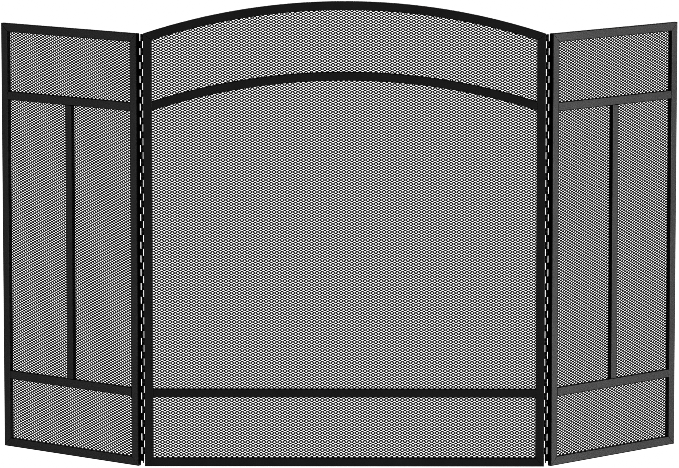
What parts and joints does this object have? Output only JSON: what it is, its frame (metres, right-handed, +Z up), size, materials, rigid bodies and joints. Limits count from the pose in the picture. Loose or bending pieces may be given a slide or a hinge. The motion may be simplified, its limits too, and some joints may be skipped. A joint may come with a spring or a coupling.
{
  "type": "fireplace screen",
  "caption": "Free-standing folding fireplace screen: an arched centre panel with a flat-topped panel hinged to each side, black tube frames backed with metal mesh.",
  "frame": {"origin": "on the floor, under the middle of the centre panel's bottom bar", "axes": "+Z up, +X to the right seen from the room along the centre panel, +Y back towards the fire"},
  "size_m": [1.1214, 0.2247, 0.762],
  "materials": {
    "frame_black": "satin black powder coat with a fine grain",
    "mesh_black": "satin black paint on expanded steel mesh",
    "hinge_black": "satin black paint, rubbed at the knuckles"
  },
  "bodies": {
    "centre_panel": {"centre_left_stile": "frame_black", "centre_right_stile": "frame_black", "centre_arch_bar": "frame_black", "centre_arch_rail": "frame_black", "centre_lower_rail": "frame_black", "centre_bottom_bar": "frame_black", "centre_mesh": "mesh_black", "left_hinge_centre_leaf": "hinge_black", "left_hinge_pin": "hinge_black", "right_hinge_centre_leaf": "hinge_black", "right_hinge_pin": "hinge_black"},
    "left_panel": {"left_inner_stile": "frame_black", "left_outer_stile": "frame_black", "left_top_bar": "frame_black", "left_upper_rail": "frame_black", "left_mullion": "frame_black", "left_lower_rail": "frame_black", "left_bottom_bar": "frame_black", "left_mesh": "mesh_black", "left_hinge_side_leaf": "hinge_black"},
    "right_panel": {"right_inner_stile": "frame_black", "right_outer_stile": "frame_black", "right_top_bar": "frame_black", "right_upper_rail": "frame_black", "right_mullion": "frame_black", "right_lower_rail": "frame_black", "right_bottom_bar": "frame_black", "right_mesh": "mesh_black", "right_hinge_side_leaf": "hinge_black"}
  },
  "joints": [
    {"name": "left_fold", "type": "hinge", "parent": "centre_panel", "child": "left_panel", "pos_m": [-0.3291, 0.0052, 0.3], "axis": [0, 0, -1], "range_deg": [-78, 138]},
    {"name": "right_fold", "type": "hinge", "parent": "centre_panel", "child": "right_panel", "pos_m": [0.3291, 0.0052, 0.3], "axis": [0, 0, 1], "range_deg": [-83, 133]}
  ]
}
